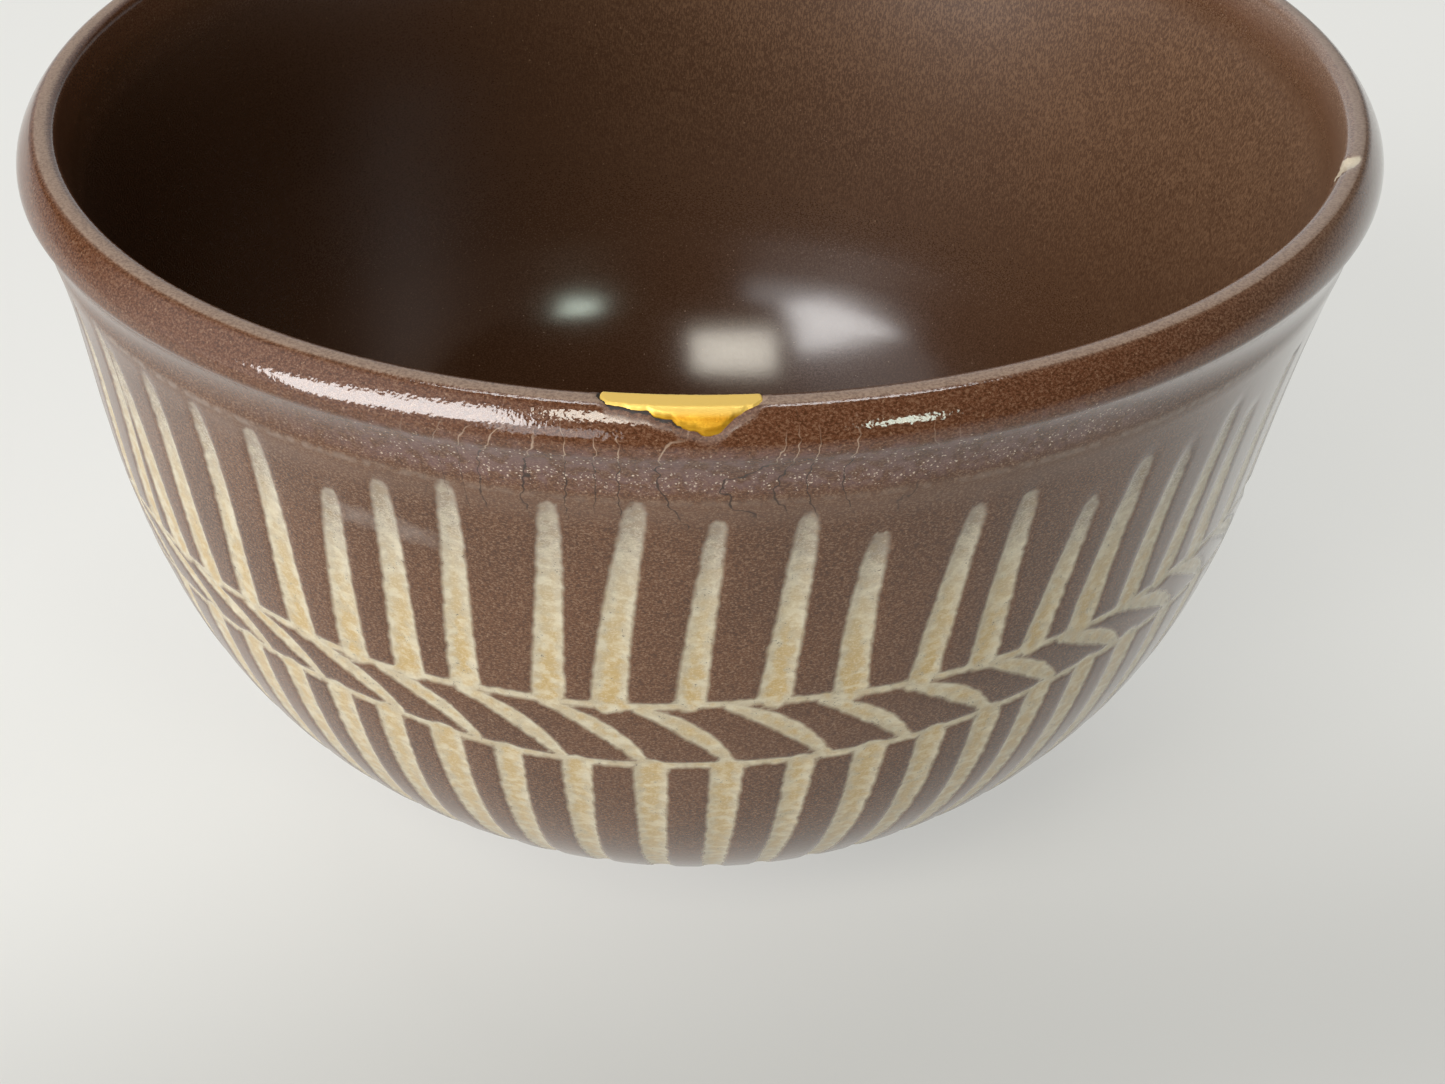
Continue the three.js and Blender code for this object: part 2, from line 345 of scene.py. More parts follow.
class Section:
    """The rows, their normals pointing out of the clay, and the way along them from the crest's inner edge:
    positive down the outside, negative down the inside."""

    def __init__(self):
        foot = foot_rows()
        belly = bezier(BELLY, belly_shares())
        rim = rim_rows()
        self.rows = np.concatenate([foot, belly, rim, inside_rows()])
        self.wall = slice(len(foot), len(foot) + len(belly))
        crest_edge = self.wall.stop + len(rim) - CREST_EASING_ROWS - 1
        run = np.gradient(self.rows, axis=0)
        run /= np.linalg.norm(run, axis=1, keepdims=True)
        self.normals = np.stack([run[:, 1], -run[:, 0]], axis=1)
        length = np.concatenate([[0], np.cumsum(np.linalg.norm(np.diff(self.rows, axis=0), axis=1))])
        self.way = length[crest_edge] - length

    def at(self, way):
        """Point and normal at a way along the section."""
        order = np.argsort(self.way)
        columns = np.concatenate([self.rows, self.normals], axis=1)[order].T
        picked = np.stack([np.interp(way, self.way[order], column) for column in columns], axis=-1)
        point, normal = picked[..., :2], picked[..., 2:]
        return point, normal / np.linalg.norm(normal, axis=-1, keepdims=True)


def turned(points, angle):
    """Points of (radius, height) turned about +Z to an angle from the front."""
    radius, height = points[..., 0], points[..., 1]
    return np.stack([radius * np.sin(angle), -radius * np.cos(angle), height], axis=-1)


def body_shift(height):
    """The body's lean to one side: none at the foot and the rim, full over the belly."""
    above_foot = smooth(FOOT_HEIGHT, SHIFT_FULL_FROM, height)
    below_rim = smooth(BOWL_HEIGHT - SHIFT_END_DROP, SHIFT_FULL_TO, height)
    return BODY_SHIFT * above_foot * below_rim


def camera_axes():
    """The camera's right, up and look directions: the look from yaw and pitch, then a roll about it."""
    look = Vector((
        math.sin(CAMERA_YAW) * math.cos(CAMERA_PITCH),
        math.cos(CAMERA_YAW) * math.cos(CAMERA_PITCH),
        -math.sin(CAMERA_PITCH),
    ))
    level = Vector((math.cos(CAMERA_YAW), -math.sin(CAMERA_YAW), 0))
    down = look.cross(level)
    right = level * math.cos(CAMERA_ROLL) + down * math.sin(CAMERA_ROLL)
    up = level * math.sin(CAMERA_ROLL) - down * math.cos(CAMERA_ROLL)
    return right, up, look


def on_wall(pixels):
    """Angle and height where pixels of the photograph meet the outer wall: of many even steps along each
    pixel's ray, the first that is no further from the axis than the wall is at its height."""
    right, up, look = (np.array(axis) for axis in camera_axes())
    offset = pixels - np.array(PHOTO_SIZE) / 2
    ray = FOCAL_PIXELS * look + offset[..., :1] * right - offset[..., 1:] * up
    ray /= np.linalg.norm(ray, axis=-1, keepdims=True)
    steps = np.linspace(RAY_NEAR, RAY_FAR, RAY_STEPS)
    places = np.array(CAMERA_PLACE) + ray[..., None, :] * steps[:, None]
    height = places[..., 2]
    x = places[..., 0] - body_shift(height)
    y = places[..., 1]
    wall = bezier(BELLY, np.linspace(0, 1, RAY_WALL_STEPS))
    within = np.hypot(x, y) <= np.interp(height, wall[:, 1], wall[:, 0])
    first = np.argmax(within, axis=-1)[..., None]
    x, y, height = (np.take_along_axis(values, first, axis=-1)[..., 0] for values in (x, y, height))
    return np.arctan2(x, -y), height


def closed_skin(name, grid, first_pole, last_pole, attributes):
    """A closed mesh from a grid of points: columns join round, and each end row closes on a pole with a fan.
    A quad runs row, column, next column, next row. Attributes hold one number for each point of the grid."""
    rows, columns = grid.shape[:2]
    index = np.arange(rows * columns).reshape(rows, columns)
    after = np.roll(index, -1, axis=1)
    quads = np.stack([index[:-1], after[:-1], after[1:], index[1:]], axis=-1).reshape(-1, 4)
    first = np.full(columns, rows * columns)
    last = first + 1
    fans = np.concatenate([
        np.stack([first, after[0], index[0]], axis=-1),
        np.stack([last, index[-1], after[-1]], axis=-1),
    ])
    points = np.concatenate([grid.reshape(-1, 3), [first_pole, last_pole]])
    mesh = bpy.data.meshes.new(name)
    mesh.from_pydata(points.tolist(), [], quads.tolist() + fans.tolist())
    mesh.polygons.foreach_set("use_smooth", np.ones(len(mesh.polygons), bool))
    for key, values in attributes.items():
        flat = values.reshape(-1)
        layer = mesh.attributes.new(key, "FLOAT", "POINT")
        layer.data.foreach_set("value", np.concatenate([flat, flat[[0, -1]]]).astype(np.float32))
    mesh.update()
    piece = bpy.data.objects.new(name, mesh)
    bpy.context.scene.collection.objects.link(piece)
    return piece


# Carving, as distances on the unrolled wall: negative inside a stroke

def jitter(index, kind):
    """An irregularity from -1 to 1 that differs from stroke to stroke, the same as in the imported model."""
    return np.sin(index * 12.9898 + kind * 78.233) * np.cos(index * 4.1414 + kind)


def hand_sway(angle):
    """How far the hand's uneven pace moves a strip round the bowl."""
    return HAND_SWAY * np.sin(HAND_SWAYS * angle)


def band_top(angle):
    """Upper line of the leaf band, which wavers a little."""
    return BAND_TOP + BAND_WAVER * np.sin(5 * angle + 0.6) + BAND_TREMOR * np.sin(17 * angle)


def band_bottom(angle):
    """Lower line, which sags between four high places and wavers a little."""
    rise = BAND_SAG * (1 - np.cos(BAND_SAGS * angle)) / 2
    return BAND_BOTTOM + LOWER_LINE_SHIFT + rise + LOWER_LINE_WAVER * np.sin(11 * angle + 1)


def near_strokes(angle, start, count, sway):
    """For each place the three nearest strokes: their number and the angle from each stroke to the place."""
    pitch = 2 * math.pi / count
    middle = np.round((angle - start) / pitch)
    for step in (-1, 0, 1):
        index = middle + step
        own = start + index * pitch
        yield index % count, angle - own - sway(own)


def stroke_rows():
    """Foot's angle, angle from foot to tip, and tip's drop of each upper stroke: those across the front as
    the photograph shows them, the others spread evenly over the rest of the ring, and all sorted by angle."""
    angle, height = on_wall(FRONT_STROKES)
    front = np.stack([angle[:, 0], angle[:, 1] - angle[:, 0], BOWL_HEIGHT - height[:, 1]], axis=1)
    index = np.arange(1, STROKE_COUNT - len(front) + 1)
    gap = (2 * math.pi + front[0, 0] - front[-1, 0]) / (len(index) + 1)
    foot = front[-1, 0] + gap * (index + STROKE_SPACING_JITTER * jitter(index, 3))
    tip = STROKE_TIP_DROP + STROKE_TIP_SWAY * np.sin(2 * foot) + HAND_JITTER * jitter(index, 1)
    lean = (STROKE_LEAN + HAND_JITTER * jitter(index, 2)) / RIDGE[0]
    back = np.stack([foot, lean, tip], axis=1)
    rows = np.concatenate([front, back])
    rows[:, 0] = (rows[:, 0] + math.pi) % (2 * math.pi) - math.pi
    return rows[np.argsort(rows[:, 0])]


def near_rows(angle, own):
    """For each place the four nearest of the sorted angles: their index and the angle from each to the
    place."""
    after = np.searchsorted(own, angle)
    for step in (-2, -1, 0, 1):
        index = (after + step) % len(own)
        yield index, (angle - own[index] + math.pi) % (2 * math.pi) - math.pi


def capsule(across, along, low, high, half):
    """Distance to a stroke with round ends: past its ends the way over joins the way across."""
    over = np.maximum(np.maximum(low - along, along - high), 0)
    return np.hypot(across, over) - half


def upper_strokes(angle, radius, height):
    """Distance to the upper row of strokes, and the share from a stroke's foot to its tip."""
    best = np.full(np.broadcast(angle, height).shape, 1.0)
    share = np.zeros_like(best)
    foot = band_top(angle) + BAND_LINE_WIDTH / 2 - BAND_OVERLAP
    own, lean, tip_drop = stroke_rows().T
    for index, offset in near_rows(angle, own):
        tip = BOWL_HEIGHT - tip_drop[index]
        run = np.clip((height - foot) / (tip - foot), 0, 1)
        uneven = 1 + STROKE_WIDTH_JITTER * jitter(index, 5)
        half = mix(STROKE_FOOT_WIDTH, STROKE_TIP_WIDTH, run ** STROKE_TAPER) / 2 * uneven
        bow = STROKE_BOW * jitter(index, 6) * np.sin(math.pi * run)
        across = (offset - lean[index] * run) * radius - bow
        distance = capsule(across, height, foot + STROKE_FOOT_WIDTH / 2, tip - STROKE_TIP_WIDTH, half)
        nearer = distance < best
        best = np.where(nearer, distance, best)
        share = np.where(nearer, run, share)
    return best, share


def leaf_strokes(angle, radius, height):
    """Distance to the slanted strokes of the band: each follows a cubic curve and swells in its middle."""
    best = np.full(np.broadcast(angle, height).shape, 1.0)
    top = band_top(angle) - BAND_LINE_WIDTH / 2
    bottom = band_bottom(angle) + BAND_LINE_WIDTH / 2
    curve = bezier(LEAF_CURVE, np.linspace(0, 1, LEAF_PARTS + 1))
    start = LEAF_START + LEAF_SPAN / 2 / radius
    for index, offset in near_strokes(angle, start, LEAF_COUNT, lambda own: 0):
        span = LEAF_SPAN + HAND_JITTER * jitter(index, 3)
        x = offset * radius + LEAF_SPAN / 2
        for i, (a, b) in enumerate(zip(curve, curve[1:])):
            ax = a[0] * span
            ay = mix(bottom, top, a[1])
            dx = (b[0] - a[0]) * span
            dy = (b[1] - a[1]) * (top - bottom)
            run = np.clip(((x - ax) * dx + (height - ay) * dy) / (dx * dx + dy * dy), 0, 1)
            share = (i + run) / LEAF_PARTS
            half = (LEAF_END_WIDTH + LEAF_SWELL * np.sin(math.pi * share ** LEAF_SWELL_SKEW)) / 2
            distance = np.hypot(x - ax - run * dx, height - ay - run * dy) - half
            best = np.minimum(best, distance)
    return best


def lower_strips(angle, radius, height):
    """Distance to the strips that run from the band down to the foot."""
    best = np.full(np.broadcast(angle, height).shape, 1.0)
    top = band_bottom(angle)
    end = FOOT_HEIGHT + STRIP_END_GAP
    for index, offset in near_strokes(angle, STRIP_START, STRIP_COUNT, hand_sway):
        run = np.clip((top - height) / (top - end), 0, 1)
        lean = STRIP_LEAN - HAND_JITTER * jitter(index, 4)
        uneven = 1 + STRIP_WIDTH_JITTER * jitter(index, 7)
        half = mix(STRIP_WIDTH, STRIP_END_WIDTH, run) / 2 * uneven
        across = offset * radius + lean * run
        distance = capsule(across, height, end + STRIP_END_WIDTH, top - STRIP_WIDTH / 4, half)
        best = np.minimum(best, distance)
    return best


def carving(angle, radius, height):
    """Distance to the nearest carved mark, and how far up its stroke a place is: a set share away from the
    upper strokes."""
    strokes, share = upper_strokes(angle, radius, height)
    leaves = leaf_strokes(angle, radius, height)
    strips = lower_strips(angle, radius, height)
    from_lines = np.minimum(np.abs(height - band_top(angle)), np.abs(height - band_bottom(angle)))
    lines = from_lines - BAND_LINE_WIDTH / 2
    nearest = np.minimum.reduce([strokes, leaves, strips, lines])
    return nearest, np.where(strokes < STROKE_MARGIN, share, BAND_SHARE)


# Chips, as distances on the unrolled rim: negative inside

def chip_edges(across):
    """Where the filled chip starts on the inside and ends on the outside, as ways from the crest's inner
    edge: two half ellipses inside, the outline's straight stretches outside, and two small waves on both."""
    ragged = 0.1 * np.sin(across / MM * 3.1) + 0.05 * np.sin(across / MM * 6.3 + 1)
    place, reach = CHIP_OUTLINE.T
    stations = place * np.where(place < 0, CHIP_LEFT, CHIP_RIGHT)
    outer = np.interp(across, stations, reach * MM) + ragged * MM
    side = np.where(across < 0, across / CHIP_LEFT, across / CHIP_RIGHT)
    inner = -CHIP_INNER_DEPTH * np.sqrt(np.clip(1 - side * side, 0.01, 1)) + ragged * MM
    return inner, outer


def chip_distance(angle, way):
    """Distance to the filled chip's outline: the largest of the ways past its edges and past its two ends."""
    across = angle * RIM_RADIUS
    inner, outer = chip_edges(across)
    beside = np.maximum(-CHIP_LEFT - across, across - CHIP_RIGHT)
    return np.maximum(np.maximum(inner - way, way - outer) * CHIP_EDGE_SLANT, beside)


def nick_distance(angle, way):
    """A slanted ellipse just below the crest's inner edge, with an uneven outline."""
    across = (angle - NICK_ANGLE) * RIM_RADIUS
    turn = np.arctan2(way, across)
    uneven = 1 + 0.12 * np.sin(3 * turn + 0.5) + 0.07 * np.sin(7 * turn)
    down = way + NICK_DROP - NICK_SLANT * across
    size = np.hypot(across / (NICK_LENGTH / 2), down / (NICK_WIDTH / 2))
    return (size / uneven - 1) * NICK_WIDTH / 2


def bowl_skin(section):
    """The section turned round +Z, with the carving, the chips and the hand's unevenness as moves along its
    normal."""
    angle = np.linspace(-math.pi, math.pi, COLUMNS, endpoint=False)[None, :]
    radius = section.rows[:, :1]
    height = section.rows[:, 1:]
    way = section.way[:, None]
    wall = section.wall
    plain = np.zeros((len(section.rows), COLUMNS))
    carve = plain + UNCARVED
    share = plain.copy()
    carve[wall], share[wall] = carving(angle, radius[wall], height[wall])
    chip = chip_distance(angle, way)
    nick = nick_distance(angle, way)
    inside = np.clip((-way - CREST_EASING) / INSIDE_FADE, 0, 1)
    crest = smooth(*CREST_LEVEL, section.normals[:, 1:]) * (height > BOWL_HEIGHT - CREST_EASING)
    up = height / MM
    rings = np.sin(1.1 * up) + 0.7 * np.sin(0.47 * up + 2) + 0.5 * np.sin(2.3 * up + angle)
    ring_depth = mix(RING_DEPTH, RING_DEPTH_BELOW, smooth(*RING_DEEPENING, -way)) * smooth(0, RING_FADE, -way)
    move = -CARVE_DEPTH * smooth(*CARVE_SLOPE, carve)
    move = move - CHIP_BED * smooth(0, -CHIP_SLOPE, chip)
    move = move - NICK_DEPTH * smooth(*NICK_SLOPE, nick)
    move = move + ring_depth * rings * inside
    for groove, depth in GROOVES:
        move = move - depth * np.exp(-((height - groove) / GROOVE_WIDTH) ** 2) * inside
    points = section.rows[:, None, :] + section.normals[:, None, :] * move[..., None]
    points[..., 0] = np.clip(points[..., 0], 0, RIM_RADIUS)
    grid = turned(points, angle)
    grid[..., 0] += body_shift(points[..., 1])
    attributes = {
        "carve": carve / MM,
        "stroke_share": share,
        "chip": chip / MM,
        "nick": nick / MM,
        "inside": inside + plain,
        "crest": crest + plain,
    }
    return closed_skin("glazed_bowl", grid, (0, 0, FOOT_RECESS), (0, 0, FLOOR_HEIGHT), attributes)


def gold_skin(section):
    """The fill: along the chip, a closed loop across the rim at each place, proud on top and sunk at its
    edges."""
    side = np.linspace(-1, 1, FILL_COLUMNS + 1)[1:-1]
    across = np.where(side < 0, side * CHIP_LEFT, side * CHIP_RIGHT)[:, None]
    inner, outer = chip_edges(across)
    way = mix(inner, outer, np.linspace(0, 1, FILL_ROWS)[None, :])
    from_edges = np.minimum(way - inner, outer - way)
    from_ends = np.minimum(across + CHIP_LEFT, CHIP_RIGHT - across)
    room = np.minimum(from_edges, 2 * from_ends)
    rise = mix(-FILL_SUNK, FILL_PROUD, smooth(0, FILL_EDGE, room))
    point, normal = section.at(way)
    top = point + normal * rise[..., None]
    back = point - normal * FILL_THICKNESS
    ring = np.concatenate([top, back[:, -2:0:-1]], axis=1)
    ring[..., 1] = np.minimum(ring[..., 1], BOWL_HEIGHT)
    edge = np.concatenate([room, 0 * room[:, -2:0:-1]], axis=1)
    grid = turned(ring, across / RIM_RADIUS)
    ends = grid[0].mean(axis=0), grid[-1].mean(axis=0)
    return closed_skin("gold_fill", grid, *ends, {"edge": edge / MM})


# Node helpers

class Nodes:
    """Short forms for making and linking the nodes of one tree."""

    def __init__(self, tree):
        self.tree = tree

    def add(self, kind, **settings):
        node = self.tree.nodes.new(kind)
        for key, value in settings.items():
            setattr(node, key, value)
        return node

    def feed(self, socket, value):
        if isinstance(value, bpy.types.NodeSocket):
            self.tree.links.new(value, socket)
        else:
            socket.default_value = value

    def split(self, vector):
        """The three coordinates of a vector."""
        node = self.add("ShaderNodeSeparateXYZ")
        self.feed(node.inputs[0], vector)
        return node.outputs

    def math(self, operation, *values):
        node = self.add("ShaderNodeMath", operation=operation)
        for socket, value in zip(node.inputs, values):
            self.feed(socket, value)
        return node.outputs[0]

    def times(self, first, *others):
        """The product of any number of values."""
        for value in others:
            first = self.math("MULTIPLY", first, value)
        return first

    def ramp(self, value, low, high, start=0.0, end=1.0):
        """A smooth step from start to end as value goes from low to high."""
        node = self.add("ShaderNodeMapRange", interpolation_type="SMOOTHSTEP")
        for socket, item in zip(node.inputs, (value, low, high, start, end)):
            self.feed(socket, item)
        return node.outputs[0]

    def blend(self, share, first, second, mode="MIX"):
        node = self.add("ShaderNodeMix", data_type="RGBA", blend_type=mode)
        self.feed(node.inputs["Factor"], share)
        self.feed(node.inputs[6], first)
        self.feed(node.inputs[7], second)
        return node.outputs[2]

    def noise(self, vector, scale, detail=3.0, roughness=0.6):
        node = self.add("ShaderNodeTexNoise")
        self.feed(node.inputs["Vector"], vector)
        self.feed(node.inputs["Scale"], scale)
        self.feed(node.inputs["Detail"], detail)
        self.feed(node.inputs["Roughness"], roughness)
        return node.outputs["Fac"]

    def edges(self, value, scale):
        """Distance to the borders of uneven cells along one number."""
        node = self.add("ShaderNodeTexVoronoi", voronoi_dimensions="1D", feature="DISTANCE_TO_EDGE")
        self.feed(node.inputs["W"], value)
        self.feed(node.inputs["Scale"], scale)
        return node.outputs["Distance"]

    def stretch(self, vector, scale):
        node = self.add("ShaderNodeMapping", vector_type="POINT")
        self.feed(node.inputs["Vector"], vector)
        node.inputs["Scale"].default_value = scale
        return node.outputs["Vector"]

    def attribute(self, name):
        return self.add("ShaderNodeAttribute", attribute_name=name).outputs["Fac"]

    def group(self, tree, **values):
        node = self.add("ShaderNodeGroup", node_tree=tree)
        for key, value in values.items():
            self.feed(node.inputs[key.replace("_", " ").capitalize()], value)
        return node.outputs


def new_group(name, inputs, outputs):
    """An empty shader group with named sockets: each input is (name, kind, default)."""
    tree = bpy.data.node_groups.new(name, "ShaderNodeTree")
    for key, kind, default in inputs:
        socket = tree.interface.new_socket(key, in_out="INPUT", socket_type=f"NodeSocket{kind}")
        if default is not None:
            socket.default_value = default
    for key, kind in outputs:
        tree.interface.new_socket(key, in_out="OUTPUT", socket_type=f"NodeSocket{kind}")
    nodes = Nodes(tree)
    source = nodes.add("NodeGroupInput").outputs
    target = nodes.add("NodeGroupOutput").inputs
    return tree, nodes, source, target


def specks_group():
    """Sparse round specks: cells whose own random number passes the share, as dots of a set size."""
    tree, n, source, target = new_group(
        "specks",
        [
            ("Vector", "Vector", None),
            ("Scale", "Float", 1.0),
            ("Share", "Float", 0.2),
            ("Size", "Float", 0.3),
        ],
        [("Mask", "Float")],
    )
    cell = n.add("ShaderNodeTexVoronoi")
    n.feed(cell.inputs["Vector"], source["Vector"])
    n.feed(cell.inputs["Scale"], source["Scale"])
    apart = n.add("ShaderNodeSeparateColor")
    n.feed(apart.inputs[0], cell.outputs["Color"])
    chosen = n.math("LESS_THAN", apart.outputs[0], source["Share"])
    size = n.math("MULTIPLY", source["Size"], n.ramp(apart.outputs[1], 0, 1, 0.5, 1.3))
    dot = n.ramp(n.math("SUBTRACT", cell.outputs["Distance"], size), 0.12, -0.12)
    n.feed(target["Mask"], n.math("MULTIPLY", chosen, dot))
    return tree


def ragged_group():
    """A torn-looking edge: a distance in millimetres, shifted by fine and coarse noise, cut with a soft
    step."""
    tree, n, source, target = new_group(
        "ragged_edge",
        [
            ("Distance", "Float", 0.0),
            ("Fine", "Float", 0.5),
            ("Coarse", "Float", 0.5),
            ("Tear", "Float", 0.3),
            ("Softness", "Float", 0.1),
        ],
        [("Mask", "Float")],
    )
    shift = n.math("SUBTRACT", n.math("ADD", source["Fine"], source["Coarse"]), 1.0)
    torn = n.math("MULTIPLY_ADD", shift, source["Tear"], source["Distance"])
    n.feed(target["Mask"], n.ramp(torn, source["Softness"], n.math("MULTIPLY", source["Softness"], -1.0)))
    return tree


SPECKS = specks_group()
RAGGED = ragged_group()


def new_material(name):
    """A material with a Principled shader, its nodes helper, and object coordinates in millimetres."""
    material = bpy.data.materials.new(name)
    material.use_nodes = True
    n = Nodes(material.node_tree)
    shader = material.node_tree.nodes["Principled BSDF"]
    place = n.add("ShaderNodeTexCoord").outputs["Object"]
    return material, n, shader, n.stretch(place, (1 / MM, 1 / MM, 1 / MM))


def surface(n, shader, height, distance):
    """A bump on the shader's normal, from a height in units of distance."""
    bump = n.add("ShaderNodeBump")
    bump.inputs["Distance"].default_value = distance
    n.feed(bump.inputs["Height"], height)
    n.feed(shader.inputs["Normal"], bump.outputs["Normal"])


# Colours of the slip, the clay and the fill

SLIP_DEEP = (0.114, 0.042, 0.013, 1)
SLIP_LIGHT = (0.14, 0.053, 0.0175, 1)
LINING_SHADED_LEFT = (0.042, 0.016, 0.006, 1)
LINING_RIGHT = (0.074, 0.031, 0.0135, 1)
ROLL_RED = (0.137, 0.053, 0.025, 1)
DARK_GRAIN = (0.05, 0.02, 0.009, 1)
PALE_GRAIN = (0.3, 0.185, 0.115, 1)
FIBRE = (0.24, 0.132, 0.071, 1)
COVE_MILK_AND_REFLECTION = (0.25, 0.155, 0.16, 1)
DIM_SPECK = (0.38, 0.24, 0.15, 1)
TAN_SPECK_AND_GLINT = (0.55, 0.37, 0.23, 1)
WHITE_SPECK_AND_GLINT = (0.8, 0.67, 0.54, 1)
RIDGE_GREY = (0.21, 0.13, 0.09, 1)
RIDGE_HIGHLIGHT = (0.32, 0.25, 0.2, 1)
DRY_CREST = (0.36, 0.25, 0.18, 1)
SMEAR = (0.48, 0.42, 0.38, 1)
CREAM_FOOT = (0.565, 0.49, 0.345, 1)
CREAM_TIP = (0.48, 0.43, 0.355, 1)
OCHRE = (0.56, 0.39, 0.15, 1)
CREAM_PLATE = (0.74, 0.675, 0.51, 1)
CREAM_STAIN = (0.5, 0.37, 0.2, 1)
CREAM_LINE = (0.38, 0.25, 0.13, 1)
CREAM_GRAIN = (0.86, 0.79, 0.62, 1)
PIT = (0.06, 0.033, 0.02, 1)
PALE_CRACK = (0.46, 0.33, 0.24, 1)
DARK_CRACK = (0.03, 0.015, 0.009, 1)
LACQUER = (0.02, 0.01, 0.006, 1)
RAW_CLAY = (0.5, 0.41, 0.28, 1)
PALE_CLAY = (0.76, 0.67, 0.52, 1)
GOLD_DEEP = (0.58, 0.275, 0.006, 1)
GOLD_LIGHT = (0.7, 0.385, 0.022, 1)
GOLD_TOP_HIGHLIGHT = (0.98, 0.66, 0.15, 1)
RUBBED_LACQUER = (0.03, 0.015, 0.008, 1)

# Where each part of the finish starts and where it is full, in millimetres: along X or Y, down from the rim
# (a drop), or along X and half of Y (a turn)
LINING_SHADE_TURN = (-65.0, 5.0)
ROLL_RED_DROP = (5.0, 2.0)
PALE_GRAIN_DROP = (3.0, 8.0)
FIBRE_TURN = (-20.0, 60.0)
FIBRE_DROP = (64.0, 4.0)
COVE_TOP_DROP = (3.6, 5.6)
COVE_BOTTOM_DROP = (8.9, 7.2)
COVE_MIDDLE_X = 5.0
COVE_SIDES = (46.0, 24.0)
SPECK_DROP = (5.2, 7.0)
RIDGE_TOP_DROP = (8.2, 9.4)
RIDGE_BOTTOM_DROP = (13.0, 10.0)
RIDGE_HIGHLIGHT_HALF = (0.55, 0.05)
RIDGE_HIGHLIGHT_SIDES = (10.0, 40.0)
DRY_ROLL_X = (30.0, 85.0)
DRY_ROLL_DROP = (4.6, 0.6)
SHEEN_X = (15.0, 70.0)
DULL_OUTSIDE_DROP = (1.0, 9.0)
DULL_INSIDE_DROP = (66.0, 36.0)
GOLD_HIGHLIGHT_DROP = (0.7, 0.1)

# Smear of slip between two strokes, in millimetres
SMEAR_X = -26.5
SMEAR_FRONT_Y = (0.0, -20.0)
SMEAR_DROP = 16.0
SMEAR_LENGTH = 6.0
SMEAR_WIDTH = 1.3
SMEAR_SLANT = 0.3

# Hairline cracks: how many to a millimetre, their width as a share of the space between them, and where they
# run, in millimetres from the filled chip and down from the rim
CRACK_COUNT = 0.33
CRACK_WIDTH = (0.034, 0.008)
CRACK_REACH = (20.0, 7.0)
CRACK_TOP_DROP = (3.6, 6.0)
CRACK_BOTTOM_DROP = (14.2, 12.6)
CRACK_DARK_DROP = (4.0, 5.0)
DULL_BESIDE_FILL = (1.0, 0.2)

GLAZE_IOR = 1.65
PEEL_DEPTH = 0.018 * MM
GOLD_GRAIN_DEPTH = 0.02 * MM


